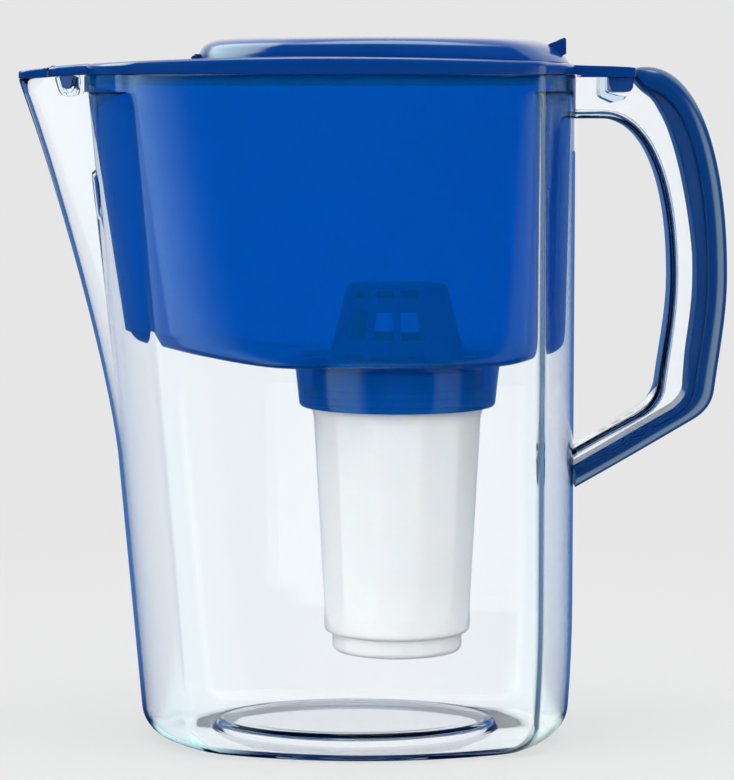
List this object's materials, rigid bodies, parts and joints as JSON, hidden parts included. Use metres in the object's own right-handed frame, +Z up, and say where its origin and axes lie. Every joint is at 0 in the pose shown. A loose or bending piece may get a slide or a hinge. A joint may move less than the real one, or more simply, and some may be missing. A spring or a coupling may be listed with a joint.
{
  "type": "water filter pitcher",
  "caption": "Clear fridge-door water pitcher with a spout beak and handle, holding a drop-in blue hopper with a filter cartridge under a lid with a filling hatch and spout flap.",
  "frame": {"origin": "on the table, halfway between the spout's tip and the back of the grip, on the plane of symmetry", "axes": "+Z up, +X from the spout towards the handle, +Y across the jug"},
  "size_m": [0.257, 0.112, 0.2552],
  "materials": {
    "clear_plastic": "clear, very smooth",
    "blue_grip": "satin",
    "blue_hopper": "translucent, glossy",
    "blue_lid": "glossy",
    "blue_cage": "satin",
    "white_plastic": "satin white",
    "seal_rubber": "matte white silicone",
    "mesh_fabric": "fine woven mesh",
    "felt": "felt",
    "granules": "dark granules with white resin beads"
  },
  "bodies": {
    "jug": {"jug_body": "clear_plastic", "handle_grip": "blue_grip"},
    "hopper": {"hopper": "blue_hopper"},
    "lid": {"lid_frame": "blue_lid"},
    "hatch": {"flip_lid": "blue_lid"},
    "flap": {"spout_flap": "blue_lid"},
    "cartridge": {"cartridge_cage": "blue_cage", "cartridge_housing": "white_plastic", "cartridge_seal": "seal_rubber", "cartridge_base_cap": "white_plastic", "inlet_mesh": "mesh_fabric", "inlet_pad": "felt", "filter_bed": "granules", "outlet_pad": "felt", "outlet_mesh": "mesh_fabric"}
  },
  "joints": [
    {"name": "hopper_lift", "type": "slide", "parent": "jug", "child": "hopper", "axis": [0, 0, 1], "range_m": [0, 0.22]},
    {"name": "lid_lift", "type": "slide", "parent": "hopper", "child": "lid", "axis": [0, 0, 1], "range_m": [0, 0.06]},
    {"name": "hatch_hinge", "type": "hinge", "parent": "lid", "child": "hatch", "pos_m": [-0.0642, 0, 0.24787], "axis": [0, -1, 0], "range_deg": [0, 100]},
    {"name": "flap_hinge", "type": "hinge", "parent": "lid", "child": "flap", "pos_m": [-0.1155, 0, 0.24419], "axis": [0, 1, 0], "range_deg": [0, 80]},
    {"name": "cartridge_pull", "type": "slide", "parent": "hopper", "child": "cartridge", "axis": [0, 0, 1], "range_m": [0, 0.065]}
  ]
}
